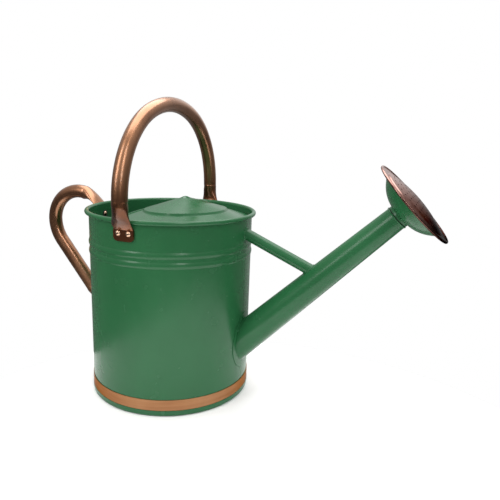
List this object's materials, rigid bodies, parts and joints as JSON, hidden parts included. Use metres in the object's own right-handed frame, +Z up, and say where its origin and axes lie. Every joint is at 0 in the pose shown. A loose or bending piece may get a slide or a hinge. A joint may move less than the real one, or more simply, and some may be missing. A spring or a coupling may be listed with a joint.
{
  "type": "watering can",
  "caption": "Round sheet-metal watering can with a hoop handle, a rear handle, a braced conical spout, a half cover and a removable rose.",
  "frame": {"origin": "centre of the base ring, on the plane that the can stands on", "axes": "+Z up, +X towards the spout and rose, rear handle at -X, hoop handle in the YZ plane"},
  "size_m": [0.5128, 0.246, 0.3627],
  "materials": {
    "green_enamel": "glossy green enamel",
    "handle_copper": "polished dark copper",
    "band_copper": "satin copper",
    "face_copper": "polished dark copper",
    "rivet_metal": "bright copper",
    "washer_rubber": "matt black",
    "wire_steel": "plain"
  },
  "bodies": {
    "can": {"bail_handle": "handle_copper", "bail_rivets_left": "rivet_metal", "bail_rivets_right": "rivet_metal", "bail_washers_left": "washer_rubber", "bail_washers_right": "washer_rubber", "base_band": "band_copper", "base_plate": "green_enamel", "body_wall": "green_enamel", "rear_handle": "handle_copper", "rear_rivets_bottom": "rivet_metal", "rear_rivets_top": "rivet_metal", "rear_washers_bottom": "washer_rubber", "rear_washers_top": "washer_rubber", "rim_wire": "wire_steel", "spout_brace": "green_enamel", "spout_root_flange": "green_enamel", "spout_tube": "green_enamel", "top_cover": "green_enamel"},
    "rose_seal": {"rose_washer": "washer_rubber"},
    "rose": {"rose_bowl": "green_enamel", "rose_face": "face_copper", "rose_spigot": "green_enamel"}
  },
  "joints": [
    {"name": "rose_pull", "type": "slide", "parent": "can", "child": "rose_seal", "axis": [0.7145, 0, 0.6997], "range_m": [0, 0.03]},
    {"name": "rose_turn", "type": "hinge", "parent": "rose_seal", "child": "rose", "pos_m": [0.28719, 0, 0.25661], "axis": [0.7145, 0, 0.6997], "continuous": true}
  ]
}
